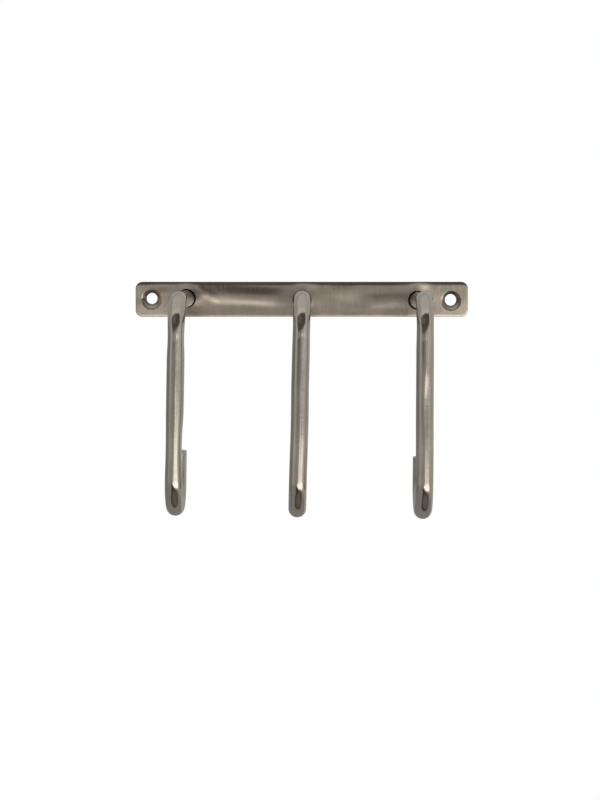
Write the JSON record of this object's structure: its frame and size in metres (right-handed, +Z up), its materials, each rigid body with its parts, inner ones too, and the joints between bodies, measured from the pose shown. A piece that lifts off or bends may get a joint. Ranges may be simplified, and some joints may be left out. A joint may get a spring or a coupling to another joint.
{
  "type": "wall hook rack",
  "caption": "Wall hook rack: a flat countersunk steel bar with a row of rod hooks welded in, each bent out, down and back up behind its own leg.",
  "frame": {"origin": "centre of the back plate's rear face, which lies flat on the wall", "axes": "+X along the plate to the right as seen from the room, +Y into the wall, +Z up"},
  "size_m": [0.12, 0.0542, 0.0811],
  "materials": {
    "plate_steel": "satin, brushed across the bar's width",
    "rod_steel": "satin, polished smooth",
    "weld_metal": "ground flush, coarse"
  },
  "bodies": {
    "root": {"back_plate": "plate_steel", "hook_left": "rod_steel", "hook_middle": "rod_steel", "hook_right": "rod_steel", "weld_left": "weld_metal", "weld_middle": "weld_metal", "weld_right": "weld_metal"}
  },
  "joints": []
}
